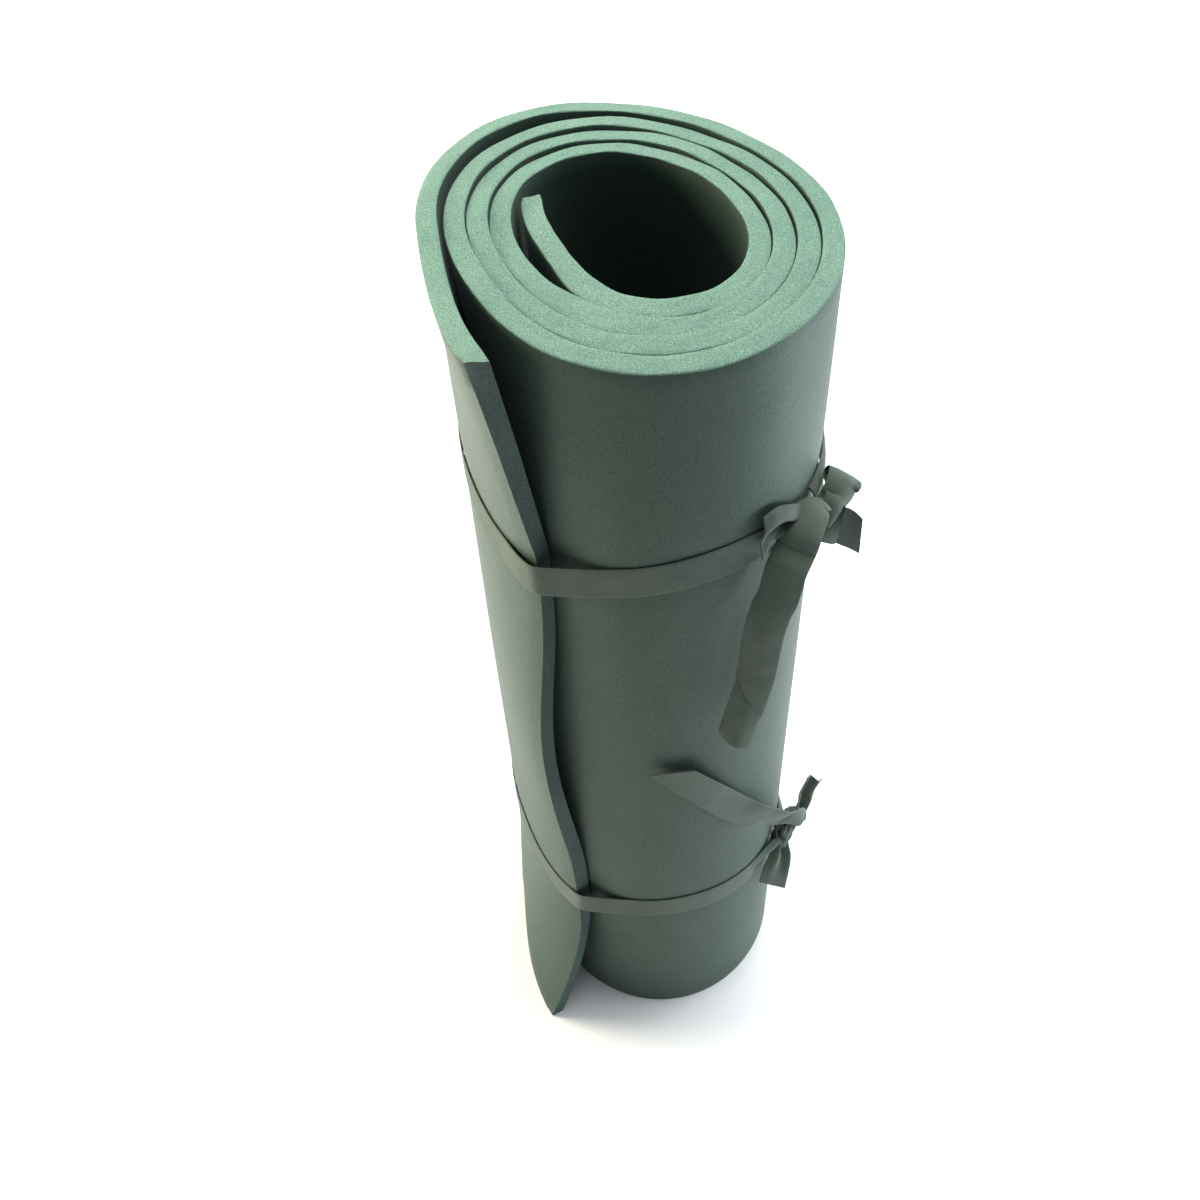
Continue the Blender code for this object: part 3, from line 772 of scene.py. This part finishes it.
def foam_cut(name, low, middle, high):
    """A cut face: lighter than the skin, with its opened cells showing as fine specks."""
    shade = Shade(name)
    place = shade.place()
    cells = shade.add("ShaderNodeTexVoronoi", Vector=place, Scale=1500.0)
    cloud = shade.noise(place, 45.0, 4.0)
    grit = shade.noise(place, 1500.0, 3.0, 0.7)
    tone = shade.ramp(shade.span(grit, 0.30, 0.72), ((0.0, low), (0.5, middle), (1.0, high)))
    cast = shade.ramp(shade.span(cloud, 0.35, 0.65),
                      ((0.0, (0.93, 0.95, 0.95)), (1.0, (1.07, 1.06, 1.05))))
    shade.join(shade.shader, "Base Color", shade.mix(1.0, tone, cast, "MULTIPLY"))
    normal = shade.bump(cells.outputs["Distance"], 0.30, 0.0004)
    normal = shade.bump(grit, 0.35, 0.0004, normal)
    shade.join(shade.shader, "Normal", normal)
    shade.shader.inputs["Roughness"].default_value = 0.85
    shade.shader.inputs["Specular IOR Level"].default_value = 0.25
    return shade.material


def woven_tape():
    """Flat cotton webbing in a fine twill, olive grey-green."""
    shade = Shade("woven_tape")
    weave = shade.place("UV")
    place = shade.place()
    turned = shade.add("ShaderNodeMapping", Vector=weave)
    turned.inputs["Rotation"].default_value = (0, 0, math.radians(-56))
    ribs = shade.add("ShaderNodeTexWave", {"wave_type": "BANDS", "bands_direction": "X"},
                     Vector=turned.outputs["Vector"], Scale=560.0, Distortion=0.4, Detail=1.0)
    ribs.inputs["Detail Scale"].default_value = 2.0
    threads = shade.add("ShaderNodeTexWave", {"wave_type": "BANDS", "bands_direction": "Y"},
                        Vector=weave, Scale=620.0)
    cloud = shade.noise(place, 60.0, 4.0)
    color = shade.ramp(shade.span(cloud, 0.35, 0.65),
                       ((0.0, (0.053, 0.075, 0.059)), (1.0, (0.070, 0.095, 0.074))))
    tone = shade.ramp(ribs.outputs["Fac"], ((0.0, (0.89, 0.89, 0.90)), (1.0, (1.09, 1.09, 1.08))))
    shade.join(shade.shader, "Base Color", shade.mix(1.0, color, tone, "MULTIPLY"))
    normal = shade.bump(ribs.outputs["Fac"], 0.45, 0.00012)
    normal = shade.bump(threads.outputs["Fac"], 0.3, 0.00006, normal)
    shade.join(shade.shader, "Normal", normal)
    shade.shader.inputs["Roughness"].default_value = 0.78
    shade.shader.inputs["Specular IOR Level"].default_value = 0.3
    shade.shader.inputs["Sheen Weight"].default_value = 0.15
    shade.shader.inputs["Sheen Roughness"].default_value = 0.45
    return shade.material


def floor_and_light(axis):
    """A plain pale floor under a broad light from above and behind, with a warm side light at the
    left, and a cool one and a low cool one at the right."""
    mesh = bpy.data.meshes.new("floor")
    form = bmesh.new()
    bmesh.ops.create_grid(form, x_segments=1, y_segments=1, size=6)
    form.to_mesh(mesh)
    form.free()
    floor = new_object("floor", mesh)
    shade = Shade("pale_floor")
    shade.shader.inputs["Base Color"].default_value = (0.77, 0.77, 0.78, 1)
    shade.shader.inputs["Roughness"].default_value = 0.9
    mesh.materials.append(shade.material)
    world = bpy.data.worlds.new("studio")
    world.use_nodes = True
    world.node_tree.nodes["Background"].inputs["Color"].default_value = (0.82, 0.92, 1.0, 1)
    world.node_tree.nodes["Background"].inputs["Strength"].default_value = 0.25
    bpy.context.scene.world = world
    lamps = (
        ("top", (0.55, 0.9, 3.1), 3.2, 202.0, (1.0, 1.0, 0.99)),
        ("left", (-1.6, 0.55, 0.75), 1.0, 62.0, (1.0, 0.95, 0.72)),
        ("right", (1.4, 0.7, 0.7), 0.9, 10.0, (0.86, 0.97, 1.0)),
        ("low", (0.85, -0.05, 0.10), 0.4, 5.0, (0.78, 0.97, 1.0)),
    )
    for name, place, size, power, color in lamps:
        lamp = bpy.data.lights.new(name, "AREA")
        lamp.shape = "DISK"
        lamp.size = size
        lamp.energy = power
        lamp.color = color
        made = bpy.data.objects.new(name, lamp)
        bpy.context.scene.collection.objects.link(made)
        made.location = Vector(place) + axis
        aim = Vector((0, 0, 0.35)) + axis - made.location
        made.rotation_euler = aim.to_track_quat("-Z", "Y").to_euler()


def camera(axis):
    """The photograph's view."""
    yaw, pitch, roll = (math.radians(a) for a in (CAMERA_YAW, CAMERA_PITCH, CAMERA_ROLL))
    level = math.cos(pitch)
    forward = Vector((math.sin(yaw) * level, math.cos(yaw) * level, -math.sin(pitch)))
    side = Vector((math.cos(yaw), -math.sin(yaw), 0))
    up = side.cross(forward)
    right = side * math.cos(roll) + up * math.sin(roll)
    upward = up * math.cos(roll) - side * math.sin(roll)
    lens = bpy.data.cameras.new("camera")
    lens.sensor_width = SENSOR_MM
    lens.lens = SENSOR_MM * FOCAL_SHARE
    lens.clip_start = 0.01
    made = bpy.data.objects.new("camera", lens)
    bpy.context.scene.collection.objects.link(made)
    turn = Matrix((right, upward, -forward)).transposed()
    made.matrix_world = Matrix.Translation(Vector(CAMERA_PLACE) + axis) @ turn.to_4x4()
    bpy.context.scene.camera = made


# Stations of the free tape ends: middle in millimetres from the knot's centre, the way the width
# runs, and the width as a share of the tape's
HANGING_TAIL = (
    (0, -2, -3, 0.9, -0.3, 0.0, 0.6),
    (-2, -2, 4, 0.94, -0.2, -0.05, 0.78),
    (-5, -5, 8, 0.96, -0.2, -0.05, 0.88),
    (-6, -10, 9.5, 0.95, -0.28, -0.1, 0.9),
    (-9, -17, 7.5, 0.92, -0.36, -0.17, 0.92),
    (-11, -21, 4, 0.92, -0.36, -0.17, 0.94),
    (-12, -21.5, 0, 0.92, -0.36, -0.17, 0.95),
    (-14, -24.5, -3, 0.92, -0.36, -0.17, 0.95),
    (-17, -29, -8, 0.92, -0.36, -0.17, 0.96),
    (-20, -33, -22, 0.92, -0.36, -0.17, 0.96),
    (-23, -35, -30, 0.93, -0.33, -0.15, 0.96),
    (-26, -37, -47, 0.96, -0.25, -0.08, 0.96),
    (-28, -38, -76, 0.96, -0.28, -0.08, 0.95),
    (-31, -38, -101, 0.91, -0.4, -0.08, 0.92),
    (-34.5, -38, -128, 0.8, -0.59, -0.08, 0.86),
)
SIDE_TAIL = (
    (-1, 0, -4, -0.3, 0.3, -0.9, 0.6),
    (5, 0, -6, -0.36, 0.08, -0.93, 0.85),
    (11, 0, -9, -0.47, 0.03, -0.88, 1.0),
    (17, 0, -13, -0.58, 0.1, -0.81, 1.0),
    (22, -1, -17, -0.59, 0.22, -0.78, 1.0),
)
BOW_LOOP = (
    (1, 1, -3, 0.5, 0.4, -0.75, 0.6),
    (6, 3, 2, 0.63, 0.4, -0.66, 0.8),
    (9.5, 6, 5.5, 0.8, 0.3, -0.52, 0.93),
    (10.5, 8, 9, 0.78, 0.24, -0.56, 0.96),
    (12, 11, 10.5, 0.72, 0.03, -0.68, 0.96),
    (12, 13.5, 8.5, 0.7, 0.1, -0.68, 0.94),
    (10.5, 13, 4.5, 0.66, 0.2, -0.7, 0.8),
    (8, 9, 0, 0.63, 0.3, -0.66, 0.65),
)
SHORT_END = (
    (-6, -5, 2, -0.78, -0.03, -0.63, 0.5),
    (-12, -10, 10, -0.78, -0.03, -0.63, 0.5),
    (-17, -16, 16, -0.65, -0.05, -0.76, 0.6),
    (-21, -21, 18, -0.25, -0.06, -0.97, 0.75),
    (-25, -26, 18.5, 0.06, 0.02, -1.0, 0.85),
    (-29, -30, 17, 0.3, 0.06, -0.95, 0.95),
)
LONG_TAIL = (
    (1, -3, 3, 0.82, 0.57, -0.09, 0.7),
    (2, -3, 13, 0.91, 0.37, -0.18, 0.65),
    (4, -3, 21, 0.84, 0.5, -0.2, 0.6),
    (5.5, -6, 32, 0.1, 0.6, -0.8, 0.66),
    (2.5, -12, 44, -0.66, -0.12, -0.74, 0.88),
    (-4, -19, 53, -0.75, -0.13, -0.65, 1.0),
    (-11, -26, 65, -0.82, -0.09, -0.56, 1.0),
    (-18, -32, 77, -0.76, -0.23, -0.61, 1.0),
    (-26, -37, 88, -0.75, -0.28, -0.6, 1.0),
    (-37, -42, 105, -0.75, -0.38, -0.55, 1.0),
    (-50, -49, 130, -0.81, -0.3, -0.51, 1.0),
    (-58, -53, 145, -0.83, -0.2, -0.53, 1.0),
    (-66, -56, 158, -0.82, -0.17, -0.55, 1.0),
    (-76, -58, 173, -0.83, -0.05, -0.55, 1.0),
)
UP_TAIL = (
    (2, -1, 1, 0.67, 0.32, -0.67, 0.6),
    (7, 4, 9, 0.72, 0.32, -0.62, 0.7),
    (11, 7, 16, 0.83, 0.36, -0.43, 0.6),
    (14, 9, 27, 0.9, 0.36, -0.24, 0.7),
    (15, 11, 35, 0.9, 0.35, -0.26, 0.8),
    (17, 12, 42, 0.88, 0.32, -0.34, 0.8),
    (19, 13, 47, 0.9, 0.3, -0.32, 0.85),
)
FAN_TAIL = (
    (-2, -4, 0, 0.66, 0.7, -0.29, 0.5),
    (-2, -7, -7, 0.78, 0.55, -0.29, 0.6),
    (-2, -11, -14, 0.87, 0.39, -0.31, 0.8),
    (-4, -15, -24, 0.93, 0.28, -0.22, 0.97),
    (-6, -19, -38, 0.96, 0.24, -0.16, 1.0),
)

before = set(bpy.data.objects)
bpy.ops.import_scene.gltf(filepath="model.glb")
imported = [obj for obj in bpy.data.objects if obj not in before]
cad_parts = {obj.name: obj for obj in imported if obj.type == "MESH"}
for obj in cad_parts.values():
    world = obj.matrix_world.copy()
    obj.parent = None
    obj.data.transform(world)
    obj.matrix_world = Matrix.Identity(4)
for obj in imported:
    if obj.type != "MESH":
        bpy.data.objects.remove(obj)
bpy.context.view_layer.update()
bpy.context.scene.view_settings.view_transform = "Standard"

skin_look = foam_skin()
cut_look = foam_cut("foam_cut",
                    (0.070, 0.128, 0.096), (0.122, 0.208, 0.158), (0.220, 0.340, 0.262))
# The sheet's cut ends are the same cut foam as its edges, given darker, bluer colours: painted
# shade
end_shade_look = foam_cut("foam_end_painted_shade",
                    (0.031, 0.054, 0.053), (0.055, 0.086, 0.082), (0.105, 0.150, 0.138))
tape_look = woven_tape()

mat = build_mat(LAST_TURN, ROLL_AXIS, (skin_look, cut_look, end_shade_look))
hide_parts("mat_roll")
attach(mat, "roll")


def tape_piece(made, node, body, blend_to=None):
    """Hides the model's part that a piece of tape stands for, and attaches the piece to what it
    moves with, or, where blend_to is given, bakes its place into its mesh.
    """
    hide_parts(node)
    if blend_to is None:
        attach(made, body)
    else:
        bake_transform(made)


made, length = build_band("upper_tape_band", True, UPPER_KNOT_HEADING, UPPER_BAND_ENDS,
                          LAST_TURN, ROLL_AXIS, tape_look)
tape_piece(made, "upper_tie_band", "roll")
made, length = build_band("lower_tape_band", False, LOWER_KNOT_HEADING, LOWER_BAND_ENDS,
                          LAST_TURN, ROLL_AXIS, tape_look)
tape_piece(made, "lower_tie_band", "roll")

for name, knot, heading, lean, size in (
    ("upper_tape_knot", UPPER_KNOT, UPPER_KNOT_HEADING, 20, (12, 18, 16)),
    ("lower_tape_knot", LOWER_KNOT, LOWER_KNOT_HEADING, -30, (13, 14, 23)),
):
    lump = knot_lump(name, knot, heading, lean, size, ROLL_AXIS, tape_look)
    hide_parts(name.replace("tape", "tie"))
    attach(lump, "roll")

made, length = ribbon("upper_tape_short_end", UPPER_KNOT, SHORT_END, ROLL_AXIS, tape_look,
                      slant=0.55)
tape_piece(made, "upper_tie_short_end", "roll")

for tape, end, knot, stations, options in (
    ("upper", "hanging_tail", UPPER_KNOT, HANGING_TAIL,
     {"count": 130, "crease": (34, 1.45, -22), "slant": 0.3, "folds": 0.5, "phase": -math.pi / 2}),
    ("upper", "side_tail", UPPER_KNOT, SIDE_TAIL, {"slant": 0.85, "folds": 0.5}),
    ("upper", "bow_loop", UPPER_KNOT, BOW_LOOP, {"folds": 0.5, "phase": math.pi / 2}),
    ("lower", "long_tail", LOWER_KNOT, LONG_TAIL,
     {"count": 110, "slant": 0.7, "folds": 0.5, "phase": -math.pi / 2}),
    ("lower", "up_tail", LOWER_KNOT, UP_TAIL, {"slant": -0.4}),
    ("lower", "fan_tail", LOWER_KNOT, FAN_TAIL, {"slant": 0.48}),
):
    name, node, body = f"{tape}_tape_{end}", f"{tape}_tie_{end}", f"{tape}_{end}"
    made, length = ribbon(name, knot, stations, ROLL_AXIS, tape_look, **options)
    centre = Vector(knot) * MM + ROLL_AXIS
    beyond = Vector(stations[3][:3]) * MM + centre
    tape_piece(made, node, body, (centre, beyond))

floor_and_light(ROLL_AXIS)
camera(ROLL_AXIS)
